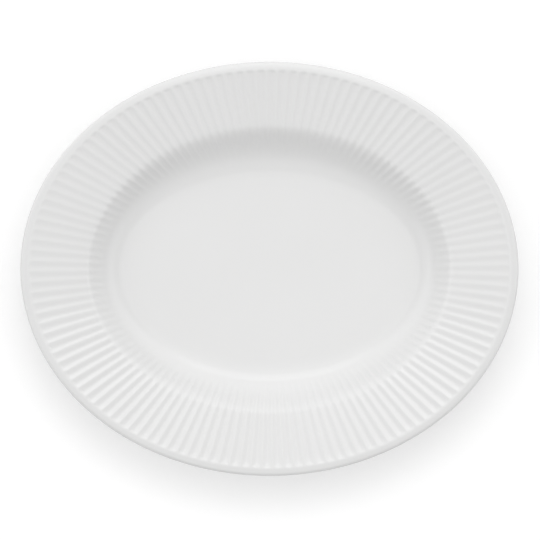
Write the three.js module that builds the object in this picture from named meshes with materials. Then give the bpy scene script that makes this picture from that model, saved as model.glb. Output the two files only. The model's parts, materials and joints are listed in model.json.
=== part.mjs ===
// Oval deep plate in glazed porcelain: a sunk well, a wide fluted rim and an oval foot ring.
//
// Millimetres, +Z up. +X runs along the long axis, and the origin lies on the table under the
// middle of the plate. "Ends" are the two ends of the long axis and "sides" those of the short one.
//
// The plate is lofted through elliptical rings, from the middle of the well out over the lip and
// back under it to the middle of the foot recess. The fired body and the two coats of glaze share
// those rings: a coat fills the space between the finished surface and the body's own, which lies
// deeper by the thickness of the glaze.
import * as THREE from "three";

// Overall
const LENGTH = 310;
const WIDTH = 257.8;
const HEIGHT = 30;

// Plan widths: the rim runs from the outline in to the shoulder, the flank from there to the floor
const RIM_AT_ENDS = 40.5;
const RIM_AT_SIDES = 38.1;
const FLANK_AT_ENDS = 22.5;
const FLANK_AT_SIDES = 33.8;

// Section
const RIM_RISE = 7; // shoulder to the crest of the lip
const WALL = 5; // rim and flank, square to the surface
const FLOOR_THICKNESS = 4.5;
const FLANK_SWEEP = 0.6; // share of the flank's width over which its curve leaves the floor
const SHOULDER_SWEEP = 0.3; // share over which it turns into the rim

// Lip: the rim rolls over a crest into a band that falls outwards to a rounded edge
const LIP_WIDTH = 7.3; // from the outline in to where the rim starts to roll over
const LIP_CREST = 5.4; // from the outline in to the top of the lip
const LIP_BAND = 3.4; // from the outline in to where the lip falls at its full tilt
const LIP_TILT = THREE.MathUtils.degToRad(18);
const EDGE_RADIUS = 1.4;

// Flutes: scooped grooves that end at the crest of the lip, with ridges between them
const FLUTES = 128;
const FLUTE_DEPTH_AT_LIP = 0.55;
const FLUTE_DEPTH_AT_SHOULDER = 0.35;
const FLUTE_AIM = 0.2; // 0 aims a groove at the plate's middle, 1 runs it square to the outline
const FIRST_FLUTE = -0.21; // pitches from the long axis to the first groove

// Foot ring
const FOOT_HEIGHT = 3;
const FOOT_WIDTH = 5;
const FOOT_OUTSET = 10; // its outer wall stands this far outside the edge of the floor
const FOOT_CHAMFER = 0.8;

// Glaze
const GLAZE = 0.3;
const GLAZE_LINE = 1; // height at which the glaze stops on the foot ring, which is bare below

// Facets: a groove line and a ridge line for each flute, and fewer lines where the plate is plain
const LINES = 2 * FLUTES;
const LINES_PER_PLAIN_LINE = 4;
const OUTLINE_DIVISIONS = 2000; // for even spacing along the outline

// Stations along the flank's curve, from the floor (0) to the shoulder (1)
const COVE = 0.2;
const FLUTE_FOOT = 0.36;
const MID_FLANK = 0.56;
const UPPER_FLANK = 0.78;

const floorZ = FOOT_HEIGHT + FLOOR_THICKNESS;
const shoulderZ = HEIGHT - RIM_RISE;

// An ellipse in plan, by its reach from the middle to the ends and to the sides.
const ellipse = (ends, sides) => ({ ends, sides });
const within = (e, atEnds, atSides = atEnds) => ellipse(e.ends - atEnds, e.sides - atSides);
const between = (inner, outer, share) =>
  ellipse(
    THREE.MathUtils.lerp(inner.ends, outer.ends, share),
    THREE.MathUtils.lerp(inner.sides, outer.sides, share),
  );

const OUTLINE = ellipse(LENGTH / 2, WIDTH / 2);
const SHOULDER = within(OUTLINE, RIM_AT_ENDS, RIM_AT_SIDES);
const FLOOR = within(SHOULDER, FLANK_AT_ENDS, FLANK_AT_SIDES);
const LIP_START = within(OUTLINE, LIP_WIDTH);
const FOOT_OUTER = within(FLOOR, -FOOT_OUTSET);
const FOOT_INNER = within(FOOT_OUTER, FOOT_WIDTH);

// A ring of the plate. A fluted ring has the depth of its grooves, and a backed one has a ring of
// the plate's back behind it, a wall's thickness away.
const ring = (plan, z, { groove = null, backed = false } = {}) => ({ plan, z, groove, backed });

// The flank leaves the floor level and meets the rim at the rim's own slope.
const rimRun = (LIP_START.ends - SHOULDER.ends + LIP_START.sides - SHOULDER.sides) / 2;
const rimSlope = RIM_RISE / rimRun;
const flankRun = (FLANK_AT_ENDS + FLANK_AT_SIDES) / 2;
const flankCurve = new THREE.CubicBezierCurve(
  new THREE.Vector2(0, floorZ),
  new THREE.Vector2(FLANK_SWEEP, floorZ),
  new THREE.Vector2(1 - SHOULDER_SWEEP, shoulderZ - SHOULDER_SWEEP * flankRun * rimSlope),
  new THREE.Vector2(1, shoulderZ),
);
const onFlank = (station, features) => {
  const { x: share, y: z } = flankCurve.getPoint(station);
  return ring(between(FLOOR, SHOULDER, share), z, features);
};

// The lip, from the rim over the crest to the edge and under it.
const onLip = (fromOutline, drop, features) =>
  ring(within(OUTLINE, fromOutline), HEIGHT - drop, features);
const dropToRim = (LIP_WIDTH - LIP_CREST) * Math.tan(Math.atan(rimSlope) / 2);
const dropToBand = (LIP_CREST - LIP_BAND) * Math.tan(LIP_TILT / 2);
const edgeTop = EDGE_RADIUS * (1 - Math.sin(LIP_TILT));
const dropToEdge = dropToBand + (LIP_BAND - edgeTop) * Math.tan(LIP_TILT);
const dropToEdgeMiddle = dropToEdge + EDGE_RADIUS * Math.cos(LIP_TILT);

const FACE = [
  ring(FLOOR, floorZ),
  onFlank(COVE),
  onFlank(FLUTE_FOOT, { groove: 0 }),
  onFlank(MID_FLANK, { groove: FLUTE_DEPTH_AT_SHOULDER, backed: true }),
  onFlank(UPPER_FLANK, { groove: FLUTE_DEPTH_AT_SHOULDER, backed: true }),
  onFlank(1, { groove: FLUTE_DEPTH_AT_SHOULDER, backed: true }),
  onLip(LIP_WIDTH, dropToRim, { groove: FLUTE_DEPTH_AT_LIP, backed: true }),
  onLip(LIP_CREST, 0, { groove: 0 }),
  onLip(LIP_BAND, dropToBand),
  onLip(edgeTop, dropToEdge),
  onLip(0, dropToEdgeMiddle),
  onLip(EDGE_RADIUS, dropToEdgeMiddle + EDGE_RADIUS),
];

// Rings of the back, from the lip in. Each is placed behind its front ring.
const BACK = FACE.filter(({ backed }) => backed)
  .toReversed()
  .map((front) => ({ front, groove: null }));

const FOOT_OUTSIDE = [ring(FOOT_OUTER, FOOT_HEIGHT), ring(FOOT_OUTER, GLAZE_LINE)];
const FOOT_BEARING = [
  ring(within(FOOT_OUTER, FOOT_CHAMFER), 0),
  ring(within(FOOT_INNER, -FOOT_CHAMFER), 0),
];
const FOOT_INSIDE = [ring(FOOT_INNER, GLAZE_LINE), ring(FOOT_INNER, FOOT_HEIGHT)];
const RINGS = [...FACE, ...BACK, ...FOOT_OUTSIDE, ...FOOT_BEARING, ...FOOT_INSIDE];

// The lines of the loft start at even steps along the outline. Each runs straight in plan, towards
// a point on the long axis that lies a little to its own side of the middle. Grooves and ridges
// take turns.
const outlineCurve = new THREE.EllipseCurve(0, 0, OUTLINE.ends, OUTLINE.sides);
outlineCurve.arcLengthDivisions = OUTLINE_DIVISIONS;
const squareToOutline = 1 - (OUTLINE.sides / OUTLINE.ends) ** 2;
const loftLines = Array.from({ length: LINES }, (_, i) => {
  const along = (i / LINES + FIRST_FLUTE / FLUTES + 1) % 1;
  const edge = outlineCurve.getPointAt(along);
  const aim = new THREE.Vector2(edge.x * squareToOutline * FLUTE_AIM, 0);
  return { aim, out: edge.sub(aim).normalize(), isGroove: i % 2 === 0 };
});

// Distance from a line's aim to where it crosses an ellipse.
function crossing({ aim, out }, { ends, sides }) {
  const a = (out.x / ends) ** 2 + (out.y / sides) ** 2;
  const b = (aim.x * out.x) / ends ** 2;
  const c = (aim.x / ends) ** 2 - 1;
  return (Math.sqrt(b * b - a * c) - b) / a;
}

// Moves the inner points of a section into the plate, each by its own depth and square to the
// section. A section runs out over the face, so the plate lies on its right.
function sink(section, depths) {
  const inward = (from, to) => {
    const way = to.clone().sub(from).normalize();
    return new THREE.Vector2(way.y, -way.x);
  };
  return section.slice(1, -1).map((point, i) => {
    const before = inward(section[i], point);
    const after = inward(point, section[i + 2]);
    const mitre = before.clone().add(after).divideScalar(1 + before.dot(after));
    return point.clone().addScaledVector(mitre, depths[i]);
  });
}

// The section under one line of the loft, as points (distance out, height) for RINGS.
function sectionOf(line) {
  const place = ({ plan, z }) => new THREE.Vector2(crossing(line, plan), z);
  const face = FACE.map(place);
  const wallBehind = sink(
    [new THREE.Vector2(0, floorZ), ...face, face.at(-1).clone().setX(0)],
    FACE.map(() => WALL),
  );
  const back = BACK.map(({ front }) => wallBehind[FACE.indexOf(front)]);
  const foot = [...FOOT_OUTSIDE, ...FOOT_BEARING, ...FOOT_INSIDE].map(place);
  return [...face, ...back, ...foot];
}

// The rings of a surface as points in space. The finished surface has no glaze above it, and the
// body's lies under the glaze everywhere but on the bare foot.
function surface(glaze) {
  const sunk = loftLines.map((line) => {
    const depths = RINGS.map((r) => {
      const cover = FOOT_BEARING.includes(r) ? 0 : glaze;
      return cover + (line.isGroove ? (r.groove ?? 0) : 0);
    });
    const section = sectionOf(line);
    const ends = [new THREE.Vector2(0, floorZ), new THREE.Vector2(0, FOOT_HEIGHT)];
    return sink([ends[0], ...section, ends[1]], depths).map((point) => {
      const plan = line.aim.clone().addScaledVector(line.out, point.x);
      return new THREE.Vector3(plan.x, plan.y, point.y);
    });
  });
  const rings = RINGS.map((r, i) =>
    sunk.filter((_, j) => r.groove !== null || j % LINES_PER_PLAIN_LINE === 0).map((s) => s[i]),
  );
  const wellMiddle = [new THREE.Vector3(0, 0, floorZ - glaze)];
  const recessMiddle = [new THREE.Vector3(0, 0, FOOT_HEIGHT + glaze)];
  const coated = FACE.length + BACK.length + FOOT_OUTSIDE.length;
  const recess = coated + FOOT_BEARING.length;
  return {
    over: [wellMiddle, ...rings.slice(0, coated)],
    bearing: rings.slice(coated, recess),
    under: [...rings.slice(recess), recessMiddle],
  };
}

// Triangles between two rings. They may differ in their number of points, and one of them may be a
// single point. The diagonals of a fluted band run from the ridges of the first ring to the grooves
// of the second, so that the two sides of a flute are alike.
function stitch(one, other) {
  const stepsOf = (points) => (points.length > 1 ? points.length : 0);
  const triangles = [];
  let i = 0;
  let j = 0;
  while (i < stepsOf(one) || j < stepsOf(other)) {
    const a = one[i % one.length];
    const b = other[j % other.length];
    const lag = (j + 0.5) / other.length - (i + 0.5) / one.length;
    const isFirstsTurn = lag > 0 || (lag === 0 && i % 2 === 0);
    if (j === stepsOf(other) || (i < stepsOf(one) && isFirstsTurn)) {
      i += 1;
      triangles.push([a, b, one[i % one.length]]);
    } else {
      j += 1;
      triangles.push([a, b, other[j % other.length]]);
    }
  }
  return triangles;
}

const skin = (rings) => rings.slice(1).flatMap((next, i) => stitch(rings[i], next));
const flipped = (triangles) => triangles.map((corners) => corners.toReversed());

function solid(name, triangles, material) {
  const geometry = new THREE.BufferGeometry();
  geometry.setFromPoints(triangles.flat());
  geometry.computeVertexNormals();
  const mesh = new THREE.Mesh(geometry, material);
  mesh.name = name;
  return mesh;
}

const porcelain = new THREE.MeshStandardMaterial({ color: 0xece9e2, roughness: 0.6, metalness: 0 });
const glaze = new THREE.MeshStandardMaterial({ color: 0xf4f4f3, roughness: 0.12, metalness: 0 });

const finished = surface(0);
const body = surface(GLAZE);

const plate = new THREE.Group();
plate.name = "oval_deep_plate";
plate.add(
  solid("porcelain_body", skin([...body.over, ...body.bearing, ...body.under]), porcelain),
  solid(
    "glaze_coat",
    [...skin([...finished.over, body.over.at(-1)]), ...flipped(skin(body.over))],
    glaze,
  ),
  solid(
    "glaze_under_well",
    [...skin([body.under[0], ...finished.under]), ...flipped(skin(body.under))],
    glaze,
  ),
);

export default plate;
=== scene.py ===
"""Oval deep plate in glazed porcelain: the finished surfaces, the studio and the camera.

Metres, +Z up, +X along the plate's long axis. "Ends" are the two ends of the long axis and
"sides" those of the short one. The plate is lofted through elliptical rings, from the middle of
the well out over the lip and back under it to the middle of the foot recess.
"""
import json
import math

import bpy
import numpy as np
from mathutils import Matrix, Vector


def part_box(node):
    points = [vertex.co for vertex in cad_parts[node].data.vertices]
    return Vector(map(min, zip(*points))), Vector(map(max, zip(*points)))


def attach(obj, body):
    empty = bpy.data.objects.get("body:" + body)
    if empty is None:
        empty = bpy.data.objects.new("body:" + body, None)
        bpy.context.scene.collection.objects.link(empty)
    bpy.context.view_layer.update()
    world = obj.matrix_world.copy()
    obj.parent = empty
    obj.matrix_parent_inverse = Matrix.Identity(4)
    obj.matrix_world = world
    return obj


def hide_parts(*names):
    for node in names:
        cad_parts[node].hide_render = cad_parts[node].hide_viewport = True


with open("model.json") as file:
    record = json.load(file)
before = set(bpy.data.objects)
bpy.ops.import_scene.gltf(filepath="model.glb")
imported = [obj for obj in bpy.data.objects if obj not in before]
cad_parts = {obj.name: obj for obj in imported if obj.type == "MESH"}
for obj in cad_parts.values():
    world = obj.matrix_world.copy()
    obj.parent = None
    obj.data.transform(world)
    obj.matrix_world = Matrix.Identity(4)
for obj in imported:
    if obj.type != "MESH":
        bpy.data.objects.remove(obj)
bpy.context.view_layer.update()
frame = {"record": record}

# Overall sizes and levels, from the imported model
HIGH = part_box("glaze_coat")[1]
HEIGHT = HIGH.z
MOUNTS = {mount["name"]: mount for mount in frame["record"]["mounts"]}
FLOOR_Z = MOUNTS["well_floor"]["pos_m"][2]
GLAZE = 0.0003
FOOT_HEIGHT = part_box("glaze_under_well")[1].z - GLAZE  # from the table up to the recess

# Plan widths: the rim runs from the outline in to the shoulder, the flank from there to the floor
RIM = (0.0405, 0.0381)  # at the ends and at the sides
FLANK = (0.0225, 0.0338)

# Section
RIM_RISE = 0.0070  # shoulder to the crest of the lip
FLANK_SWEEP = 0.60  # share of the flank's width over which its curve leaves the floor
SHOULDER_SWEEP = 0.27  # share over which it turns into the rim
WALL = 0.0050
LIP_WIDTH = 0.0070  # from the outline in to where the rim starts to roll over
LIP_BAND = 0.0030  # from the outline in to where the rolled lip has its full tilt
LIP_TILT = math.radians(8)
EDGE_RADIUS = 0.0022
EDGE_END = math.radians(200)  # where the edge's round ends under the lip, turned from straight up

# Flutes: scooped grooves with ridges between them
FLUTES = 128
FIRST_FLUTE = -0.21  # pitches from the long axis to the first groove
FLUTE_AIM = 0.2  # 0 aims a groove at the plate's middle, 1 runs it square to the outline
FLUTE_DEPTH_AT_LIP = 0.00055
FLUTE_DEPTH_AT_SHOULDER = 0.00035
FLUTE_SHARE = (0.65, 1.30)  # the grooves' depth at the ends and at the sides, against those above
END_POWER = 6  # the higher, the less of the plate counts as its ends there
FLUTE_BAND = 0.0046  # plain band from the outline in to the grooves' outer ends
FLUTE_RUNOUT = 0.0026  # length of a groove's scooped outer end
FLUTE_FOOT = 0.40  # share of the flank's width at which the grooves fade out
FLUTE_FULL = 0.85  # share at which they have the depth of the shoulder
SCOOP_AT_LIP = 0.6  # under 1 a groove is wide and its ridges narrow, over 1 the reverse
SCOOP_AT_SHOULDER = 1.0
SCOOP_TURN = 1 / 3  # share of the rim, from the lip in, over which the one turns into the other

# Foot ring
FOOT_OUTSET = 0.0100
FOOT_WIDTH = 0.0050
FOOT_ROUND = 0.0008
OUTER_FILLET = ((0.0020, 0.0010), (0.0005, 0), (0, -0.0007))  # out from the foot, up from the recess
INNER_FILLET = ((0, -0.0010), (0.0003, -0.0003), (0.0010, 0))  # in from the foot, up from the recess
GLAZE_LINE = 0.0010  # height above the table at which the glaze ends

# Mesh
FINE_LINES = 12 * FLUTES
BODY_LINES = 4 * FLUTES
PLAIN_SHARE = 4  # a plain ring has one point for this many lines
FLANK_MARGIN = 0.1  # share of the flank below the flutes whose rings aren't plain yet
LIP_MARGIN = 0.001  # width of the lip outside the flutes whose rings aren't plain yet
FLOOR_SHARES = (0.35, 0.7, 0.9)  # rings on the floor, against its edge
FLANK_STEPS = 21
RIM_STEPS = 8
CREST_POINTS = 9
EDGE_POINTS = 11
BACK_RIM_SHARES = (0.8, 0.6, 0.4, 0.2)
BACK_FLANK_PLACES = (0.74, 0.66, 0.58, 0.5)  # along the flank's curve
AHEAD = 0.01  # step along that curve that gives its slope
FOOT_ARC = np.radians((30, 60, 90))
RECESS_SHARE = 0.6  # ring in the recess, against the foot's inner edge
OUTLINE_SAMPLES = 40001


def ellipse(ends, sides):
    return np.array([ends, sides])


def lerp(a, b, share):
    return a + (b - a) * share


def smooth(share):
    """0 to 1 with level ends."""
    share = min(max(share, 0.0), 1.0)
    return share * share * (3 - 2 * share)


OUTLINE = ellipse(HIGH.x, HIGH.y)
SHOULDER = OUTLINE - RIM
FLOOR = SHOULDER - FLANK
LIP_START = OUTLINE - LIP_WIDTH
FOOT_OUTER = FLOOR + FOOT_OUTSET
FOOT_INNER = FOOT_OUTER - FOOT_WIDTH
SHOULDER_Z = HEIGHT - RIM_RISE
RIM_RUN = float(np.mean(LIP_START - SHOULDER))
RIM_TILT = math.atan(RIM_RISE / RIM_RUN)


def flank_point(t):
    """Share of the flank's width and height at t along its curve, which leaves the floor level
    and meets the rim at the rim's own slope."""
    rim_slope = math.tan(RIM_TILT) * float(np.mean(FLANK)) / (SHOULDER_Z - FLOOR_Z)
    points = np.array([
        (0, 0),
        (FLANK_SWEEP, 0),
        (1 - SHOULDER_SWEEP, 1 - SHOULDER_SWEEP * rim_slope),
        (1, 1),
    ])
    weights = ((1 - t) ** 3, 3 * t * (1 - t) ** 2, 3 * t * t * (1 - t), t**3)
    return np.array(weights) @ points


def lip_round():
    """The lip's section as points (distance in from the outline, drop below the crest), from the
    rim over the crest and the falling band to the edge and under it."""
    crest_radius = (LIP_WIDTH - LIP_BAND) / (math.sin(RIM_TILT) + math.sin(LIP_TILT))
    points = []
    for angle in np.linspace(-RIM_TILT, LIP_TILT, CREST_POINTS):
        across = crest_radius * (math.sin(RIM_TILT) + math.sin(angle))
        points.append((LIP_WIDTH - across, crest_radius * (1 - math.cos(angle))))
    band_in, band_drop = points[-1]
    edge_top_in = EDGE_RADIUS * (1 - math.sin(LIP_TILT))
    edge_drop = band_drop + (band_in - edge_top_in) * math.tan(LIP_TILT)
    centre_drop = edge_drop + EDGE_RADIUS * math.cos(LIP_TILT)
    for angle in np.linspace(LIP_TILT, EDGE_END, EDGE_POINTS):
        away = EDGE_RADIUS * (1 - math.sin(angle))
        points.append((away, centre_drop - EDGE_RADIUS * math.cos(angle)))
    return points


LIP = lip_round()
RIM_TOP_Z = HEIGHT - LIP[0][1]


class Ring:
    """A ring of the loft: its ellipse in plan, its height and the grooves' depth and form there.
    A plain ring has no groove, not even one of no depth."""

    def __init__(self, plan, z, groove=None, scoop=1.0):
        self.plan = np.asarray(plan)
        self.z = z
        self.groove = groove
        self.scoop = scoop


def groove_at(from_outline, share_in):
    """Depth and form of the grooves on the rim, by the distance in from the outline and the share
    of the way from the lip in to the shoulder."""
    ramp = smooth((from_outline - FLUTE_BAND) / FLUTE_RUNOUT)
    depth = lerp(FLUTE_DEPTH_AT_LIP, FLUTE_DEPTH_AT_SHOULDER, share_in)
    scoop = lerp(SCOOP_AT_LIP, SCOOP_AT_SHOULDER, min(1.0, share_in / SCOOP_TURN))
    return depth * ramp, scoop


def face_rings():
    """The floor, the flank, the rim and the lip."""
    rings = [Ring(FLOOR * share, FLOOR_Z) for share in FLOOR_SHARES]
    for t in np.linspace(0, 1, FLANK_STEPS, endpoint=False):
        share, rise = flank_point(t)
        z = lerp(FLOOR_Z, SHOULDER_Z, rise)
        fade = smooth((share - FLUTE_FOOT) / (FLUTE_FULL - FLUTE_FOOT))
        fluted = share > FLUTE_FOOT - FLANK_MARGIN
        groove = FLUTE_DEPTH_AT_SHOULDER * fade if fluted else None
        rings.append(Ring(lerp(FLOOR, SHOULDER, share), z, groove, SCOOP_AT_SHOULDER))
    for share in np.linspace(0, 1, RIM_STEPS, endpoint=False):
        from_outline = lerp(RIM[0], LIP_WIDTH, share)
        depth, scoop = groove_at(from_outline, 1 - share)
        z = lerp(SHOULDER_Z, RIM_TOP_Z, share)
        rings.append(Ring(lerp(SHOULDER, LIP_START, share), z, depth, scoop))
    for from_outline, drop in LIP:
        depth, scoop = groove_at(from_outline, 0)
        fluted = from_outline > FLUTE_BAND - LIP_MARGIN
        rings.append(Ring(OUTLINE - from_outline, HEIGHT - drop, depth if fluted else None, scoop))
    return rings


def back_rings():
    """The plain back, a wall's thickness behind the rim and the upper flank."""
    rings = []
    for share in BACK_RIM_SHARES:
        plan = lerp(SHOULDER, LIP_START, share) + WALL * math.sin(RIM_TILT)
        rings.append(Ring(plan, lerp(SHOULDER_Z, RIM_TOP_Z, share) - WALL * math.cos(RIM_TILT)))
    for t in BACK_FLANK_PLACES:
        (share, rise), (next_share, next_rise) = flank_point(t), flank_point(t + AHEAD)
        run = (next_share - share) * np.array(FLANK)
        climb = (next_rise - rise) * (SHOULDER_Z - FLOOR_Z)
        length = np.hypot(run, climb)
        plan = lerp(FLOOR, SHOULDER, share) + WALL * climb / length
        z = lerp(FLOOR_Z, SHOULDER_Z, rise) - WALL * float(np.mean(run / length))
        rings.append(Ring(plan, z))
    return rings


def foot_outside():
    rings = [Ring(FOOT_OUTER + out, FOOT_HEIGHT + up) for out, up in OUTER_FILLET]
    return rings + [Ring(FOOT_OUTER, GLAZE_LINE)]


def foot_bearing():
    """The bare face that the plate stands on, with its two rounded corners."""
    rings = []
    for angle in FOOT_ARC:
        away = FOOT_ROUND * (1 - math.cos(angle))
        rings.append(Ring(FOOT_OUTER - away, FOOT_ROUND * (1 - math.sin(angle))))
    for angle in FOOT_ARC[::-1]:
        away = FOOT_ROUND * (1 - math.cos(angle))
        rings.append(Ring(FOOT_INNER + away, FOOT_ROUND * (1 - math.sin(angle))))
    return rings


def foot_inside():
    rings = [Ring(FOOT_INNER, GLAZE_LINE)]
    rings += [Ring(FOOT_INNER - away, FOOT_HEIGHT + up) for away, up in INNER_FILLET]
    return rings + [Ring(FOOT_INNER * RECESS_SHARE, FOOT_HEIGHT)]


FACE = face_rings()
BACK = back_rings()
OUTSIDE = foot_outside()
BEARING = foot_bearing()
INSIDE = foot_inside()
RINGS = FACE + BACK + OUTSIDE + BEARING + INSIDE


def loft_lines(count):
    """Where the loft's lines start on the long axis, which way they run and their flute phase."""
    turn = np.linspace(0, 2 * np.pi, OUTLINE_SAMPLES)
    edge = np.stack([OUTLINE[0] * np.cos(turn), OUTLINE[1] * np.sin(turn)], 1)
    along = np.concatenate([[0], np.cumsum(np.linalg.norm(np.diff(edge, axis=0), axis=1))])
    pitches = np.arange(count) * FLUTES / count
    starts = ((pitches + FIRST_FLUTE) / FLUTES % 1) * along[-1]
    angle = np.interp(starts, along, turn)
    edge = np.stack([OUTLINE[0] * np.cos(angle), OUTLINE[1] * np.sin(angle)], 1)
    aim = np.zeros_like(edge)
    aim[:, 0] = edge[:, 0] * (1 - (OUTLINE[1] / OUTLINE[0]) ** 2) * FLUTE_AIM
    out = edge - aim
    return aim, out / np.linalg.norm(out, axis=1, keepdims=True), pitches % 1


def crossings(aim, out, plan):
    """Distance from each line's aim to where it crosses an ellipse."""
    a = (out[:, 0] / plan[0]) ** 2 + (out[:, 1] / plan[1]) ** 2
    b = aim[:, 0] * out[:, 0] / plan[0] ** 2
    c = (aim[:, 0] / plan[0]) ** 2 - 1
    return (np.sqrt(b * b - a * c) - b) / a


def lofted(count, cover):
    """All rings as points in space on this many lines, sunk by the grooves and by a cover of glaze
    everywhere but on the bare foot."""
    aim, out, phase = loft_lines(count)
    across = np.stack([crossings(aim, out, ring.plan) for ring in RINGS], 1)
    height = np.tile([ring.z for ring in RINGS], (count, 1))
    padded_across = np.pad(across, ((0, 0), (1, 1)), constant_values=0)
    padded_height = np.concatenate(
        [np.full((count, 1), FLOOR_Z), height, np.full((count, 1), FOOT_HEIGHT)], 1
    )
    step = np.stack([np.diff(padded_across, axis=1), np.diff(padded_height, axis=1)], 2)
    step /= np.linalg.norm(step, axis=2, keepdims=True)
    inward = np.stack([step[..., 1], -step[..., 0]], 2)
    before, after = inward[:, :-1], inward[:, 1:]
    mitre = (before + after) / (1 + (before * after).sum(2, keepdims=True))
    depth = np.zeros_like(across)
    endness = np.abs(out[:, 0]) ** END_POWER
    scale = lerp(FLUTE_SHARE[1], FLUTE_SHARE[0], endness)
    for i, ring in enumerate(RINGS):
        depth[:, i] = 0 if ring in BEARING else cover
        if ring.groove:
            wave = (0.5 + 0.5 * np.cos(2 * np.pi * phase)) ** ring.scoop
            depth[:, i] += ring.groove * scale * wave
    across = across + mitre[..., 0] * depth
    height = height + mitre[..., 1] * depth
    plan = aim[:, None, :] + out[:, None, :] * across[..., None]
    return np.concatenate([plan, height[..., None]], 2)


def surface(count, cover):
    """The surface's rings of points, in three stretches: over the plate, the bare foot, under it."""
    points = lofted(count, cover)
    rings = []
    for i, ring in enumerate(RINGS):
        fluted = ring.groove is not None
        rings.append(points[:: 1 if fluted else PLAIN_SHARE, i])
    coated = len(FACE) + len(BACK) + len(OUTSIDE)
    recess = coated + len(BEARING)
    well_middle = np.array([[0, 0, FLOOR_Z - cover]])
    recess_middle = np.array([[0, 0, FOOT_HEIGHT + cover]])
    return (
        [well_middle] + rings[:coated],
        rings[coated:recess],
        rings[recess:] + [recess_middle],
    )


def stitched(first, second, n_first, n_second):
    """Faces between two rings, given the index of each ring's first point and its point count."""
    if n_first == n_second:
        following = [(i + 1) % n_first for i in range(n_first)]
        return [
            (first + i, second + i, second + following[i], first + following[i])
            for i in range(n_first)
        ]
    faces = []
    fine_is_first = n_first > n_second
    fine, coarse = (first, second) if fine_is_first else (second, first)
    n_fine, n_coarse = max(n_first, n_second), min(n_first, n_second)
    ratio = n_fine // n_coarse
    for k in range(n_fine):
        near = ((k + ratio // 2) // ratio) % n_coarse
        a, b, c = fine + k, fine + (k + 1) % n_fine, coarse + near
        faces.append((a, c, b) if fine_is_first else (b, c, a))
        following = ((k + 1 + ratio // 2) // ratio) % n_coarse
        if n_coarse > 1 and following != near:
            d = coarse + following
            faces.append((b, c, d) if fine_is_first else (d, c, b))
    return faces


def build(name, rings, material, node):
    """A closed piece whose skin runs through rings that start and end at a single point."""
    starts = np.concatenate([[0], np.cumsum([len(ring) for ring in rings])]).astype(int)
    faces = []
    for i in range(len(rings) - 1):
        faces += stitched(int(starts[i]), int(starts[i + 1]), len(rings[i]), len(rings[i + 1]))
    mesh = bpy.data.meshes.new(name)
    mesh.from_pydata(np.concatenate(rings).tolist(), [], faces)
    mesh.validate()
    mesh.shade_smooth()
    mesh.materials.append(material)
    piece = bpy.data.objects.new(name, mesh)
    bpy.context.scene.collection.objects.link(piece)
    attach(piece, "root")
    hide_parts(node)


# Materials
TONE_RANGE = (0.3, 0.7)  # the part of a noise's range over which a tone changes


def new_material(name):
    material = bpy.data.materials.new(name)
    material.use_nodes = True
    nodes, links = material.node_tree.nodes, material.node_tree.links
    return material, nodes, links, nodes["Principled BSDF"]


def noise(nodes, links, scale, detail):
    """Cloudy noise by the place on the plate."""
    place = nodes.new("ShaderNodeNewGeometry")
    cloud = nodes.new("ShaderNodeTexNoise")
    cloud.inputs["Scale"].default_value = scale
    cloud.inputs["Detail"].default_value = detail
    links.new(place.outputs["Position"], cloud.inputs["Vector"])
    return cloud.outputs["Fac"]


def tone(nodes, links, value, dark, light):
    """A colour from dark to light, by a noise."""
    ramp = nodes.new("ShaderNodeValToRGB")
    for element, position, colour in zip(ramp.color_ramp.elements, TONE_RANGE, (dark, light)):
        element.position = position
        element.color = (*colour, 1)
    links.new(value, ramp.inputs["Fac"])
    return ramp.outputs["Color"]


def bumps(nodes, links, value, strength, distance):
    """A surface made uneven by a noise."""
    bump = nodes.new("ShaderNodeBump")
    bump.inputs["Strength"].default_value = strength
    bump.inputs["Distance"].default_value = distance
    links.new(value, bump.inputs["Height"])
    return bump.outputs["Normal"]


def glaze_material():
    """Clear glossy glaze over white porcelain, with faint unevenness in tone, gloss and surface."""
    material, nodes, links, shader = new_material("glossy_glaze")
    cloud = noise(nodes, links, scale=14, detail=3)
    white = tone(nodes, links, cloud, dark=(0.800, 0.800, 0.797), light=(0.812, 0.812, 0.810))
    links.new(white, shader.inputs["Base Color"])
    gloss = nodes.new("ShaderNodeMapRange")
    gloss.inputs["To Min"].default_value = 0.09
    gloss.inputs["To Max"].default_value = 0.14
    links.new(cloud, gloss.inputs["Value"])
    links.new(gloss.outputs["Result"], shader.inputs["Roughness"])
    ripple = noise(nodes, links, scale=180, detail=2)
    uneven = bumps(nodes, links, ripple, strength=0.02, distance=0.001)
    links.new(uneven, shader.inputs["Normal"])
    shader.inputs["IOR"].default_value = 1.5
    return material


def porcelain_material():
    """Bare fired porcelain: matt, a little warmer than the glaze, with a fine grain."""
    material, nodes, links, shader = new_material("bare_porcelain")
    grain = noise(nodes, links, scale=900, detail=4)
    warm_white = tone(nodes, links, grain, dark=(0.66, 0.64, 0.59), light=(0.77, 0.75, 0.70))
    links.new(warm_white, shader.inputs["Base Color"])
    uneven = bumps(nodes, links, grain, strength=0.25, distance=0.0002)
    links.new(uneven, shader.inputs["Normal"])
    shader.inputs["Roughness"].default_value = 0.65
    return material


# Pieces: the glaze's outer skin is fine, and its inner skin is the body's own
glaze = glaze_material()
porcelain = porcelain_material()
over, _, under = surface(FINE_LINES, 0.0)
body_over, body_bearing, body_under = surface(BODY_LINES, GLAZE)
body = body_over + body_bearing + body_under
build("porcelain_body_fine", body, porcelain, "porcelain_body")
build("glaze_coat_fine", over + body_over[::-1], glaze, "glaze_coat")
build("glaze_under_well_fine", body_under[::-1] + under, glaze, "glaze_under_well")

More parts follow.
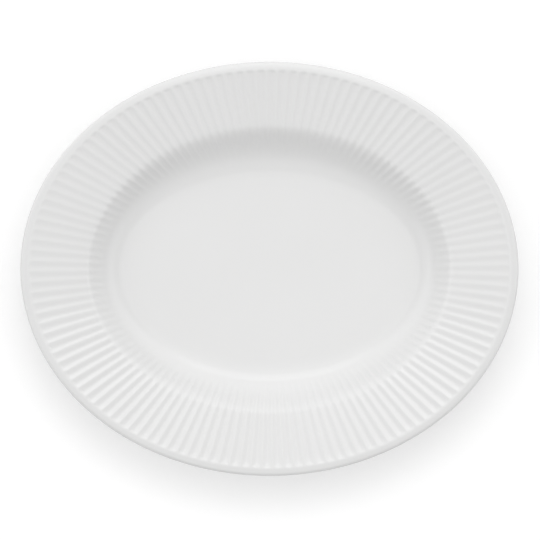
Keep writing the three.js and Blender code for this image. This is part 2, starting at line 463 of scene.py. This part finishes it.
# Studio: a white floor inside a tent of soft light, with the softboxes behind the plate, +Y
WHITE = (1, 1, 1, 1)
FLOOR_SIZE = 6.0
FLOOR_COLOUR = (0.75, 0.75, 0.75, 1)
FLOOR_LIFT = 0.37  # what the camera, the glaze and glass see on the floor beyond the light it gets
TENT_SPREAD = 12.0  # the higher, the smaller the lobes
TENT = (  # azimuth and elevation of a lobe in degrees, and its radiance
    (30, 8, 0.35),
    (90, 8, 0.70),
    (150, 8, 0.60),
    (210, 8, 0.50),
    (270, 8, 0.75),
    (330, 8, 0.15),
    (18, 35, 0.80),
    (54, 35, 0.95),
    (90, 35, 0.95),
    (126, 35, 0.70),
    (162, 35, 1.00),
    (198, 35, 1.00),
    (306, 35, 0.35),
    (342, 35, 0.95),
    (90, 60, 0.35),
    (270, 60, 1.00),
)
LAMP_DISTANCE = 1.2
SOFTBOXES = (  # name, azimuth and elevation in degrees, width and height, radiance
    ("wide_softbox", 90, 58, 1.27, 0.38, 0.40),
    ("key_softbox", 90, 57, 0.50, 0.40, 0.90),
    ("overhead_softbox", 90, 83, 0.38, 0.62, 0.80),
)


def direction(azimuth, elevation):
    azimuth, elevation = math.radians(azimuth), math.radians(elevation)
    level = math.cos(elevation)
    return Vector((level * math.cos(azimuth), level * math.sin(azimuth), math.sin(elevation)))


def math_node(nodes, links, operation, first, second):
    """One step of maths on two values, each a number or another node's output."""
    node = nodes.new("ShaderNodeMath")
    node.operation = operation
    for socket, value in zip(node.inputs, (first, second)):
        if isinstance(value, float):
            socket.default_value = value
        else:
            links.new(value, socket)
    return node.outputs["Value"]


def studio_floor():
    bpy.ops.mesh.primitive_plane_add(size=FLOOR_SIZE, location=(0, 0, 0))
    floor = bpy.context.object
    floor.name = "studio_floor"
    material, nodes, links, shader = new_material("white_floor")
    shader.inputs["Base Color"].default_value = FLOOR_COLOUR
    shader.inputs["Roughness"].default_value = 0.9
    shader.inputs["Specular IOR Level"].default_value = 0.0
    rays = nodes.new("ShaderNodeLightPath").outputs
    seen = math_node(nodes, links, "MAXIMUM", rays["Is Camera Ray"], rays["Is Glossy Ray"])
    seen = math_node(nodes, links, "MAXIMUM", seen, rays["Is Transmission Ray"])
    lift = math_node(nodes, links, "MULTIPLY", seen, FLOOR_LIFT)
    shader.inputs["Emission Color"].default_value = WHITE
    links.new(lift, shader.inputs["Emission Strength"])
    floor.data.materials.append(material)


def light_tent():
    """World light in round lobes, each of which falls off with the angle from its own direction.
    The camera sees plain white instead."""
    world = bpy.data.worlds.new("light_tent")
    bpy.context.scene.world = world
    world.use_nodes = True
    nodes, links = world.node_tree.nodes, world.node_tree.links
    way = nodes.new("ShaderNodeTexCoord").outputs["Generated"]
    total = None
    for azimuth, elevation, radiance in TENT:
        closeness = nodes.new("ShaderNodeVectorMath")
        closeness.operation = "DOT_PRODUCT"
        links.new(way, closeness.inputs[0])
        closeness.inputs[1].default_value = direction(azimuth, elevation)
        falloff = math_node(nodes, links, "SUBTRACT", closeness.outputs["Value"], 1.0)
        falloff = math_node(nodes, links, "MULTIPLY", falloff, TENT_SPREAD)
        lobe = math_node(nodes, links, "POWER", math.e, falloff)
        lobe = math_node(nodes, links, "MULTIPLY", lobe, radiance)
        total = lobe if total is None else math_node(nodes, links, "ADD", total, lobe)
    camera_ray = nodes.new("ShaderNodeLightPath").outputs["Is Camera Ray"]
    unseen = math_node(nodes, links, "SUBTRACT", 1.0, camera_ray)
    light = math_node(nodes, links, "MULTIPLY", total, unseen)
    background = nodes["Background"]
    background.inputs["Color"].default_value = WHITE
    links.new(math_node(nodes, links, "ADD", light, camera_ray), background.inputs["Strength"])


def softbox(name, azimuth, elevation, width, height, radiance):
    lamp = bpy.data.lights.new(name, "AREA")
    lamp.shape = "RECTANGLE"
    lamp.size = width
    lamp.size_y = height
    lamp.energy = math.pi * width * height * radiance
    holder = bpy.data.objects.new(name, lamp)
    away = direction(azimuth, elevation)
    holder.location = away * LAMP_DISTANCE
    holder.rotation_euler = (-away).to_track_quat("-Z", "Y").to_euler()
    bpy.context.scene.collection.objects.link(holder)


# Camera: almost straight down, with the outline's ellipse where the photograph has it
FRAME_PIXELS = 540
OUTLINE_PIXELS = 498.3  # length of the outline in the frame
OUTLINE_CENTRE = (269.5, 268.5)  # its middle, in pixels from the top left
CAMERA_DISTANCE = 2.0
CAMERA_ELEVATION = math.radians(88.5)
SENSOR = 36.0


def photo_camera():
    pixel = 2 * OUTLINE[0] / OUTLINE_PIXELS
    target = Vector((
        (FRAME_PIXELS / 2 - OUTLINE_CENTRE[0]) * pixel,
        (OUTLINE_CENTRE[1] - FRAME_PIXELS / 2) * pixel,
        HEIGHT - EDGE_RADIUS,
    ))
    away = Vector((0, -math.cos(CAMERA_ELEVATION), math.sin(CAMERA_ELEVATION)))
    camera = bpy.data.objects.new("camera", bpy.data.cameras.new("camera"))
    camera.location = target + away * CAMERA_DISTANCE
    camera.rotation_euler = (-away).to_track_quat("-Z", "Y").to_euler()
    camera.data.sensor_width = SENSOR
    camera.data.lens = SENSOR * CAMERA_DISTANCE / (pixel * FRAME_PIXELS)
    bpy.context.scene.collection.objects.link(camera)
    bpy.context.scene.camera = camera


studio_floor()
light_tent()
for box in SOFTBOXES:
    softbox(*box)
photo_camera()
bpy.context.scene.view_settings.view_transform = "Standard"
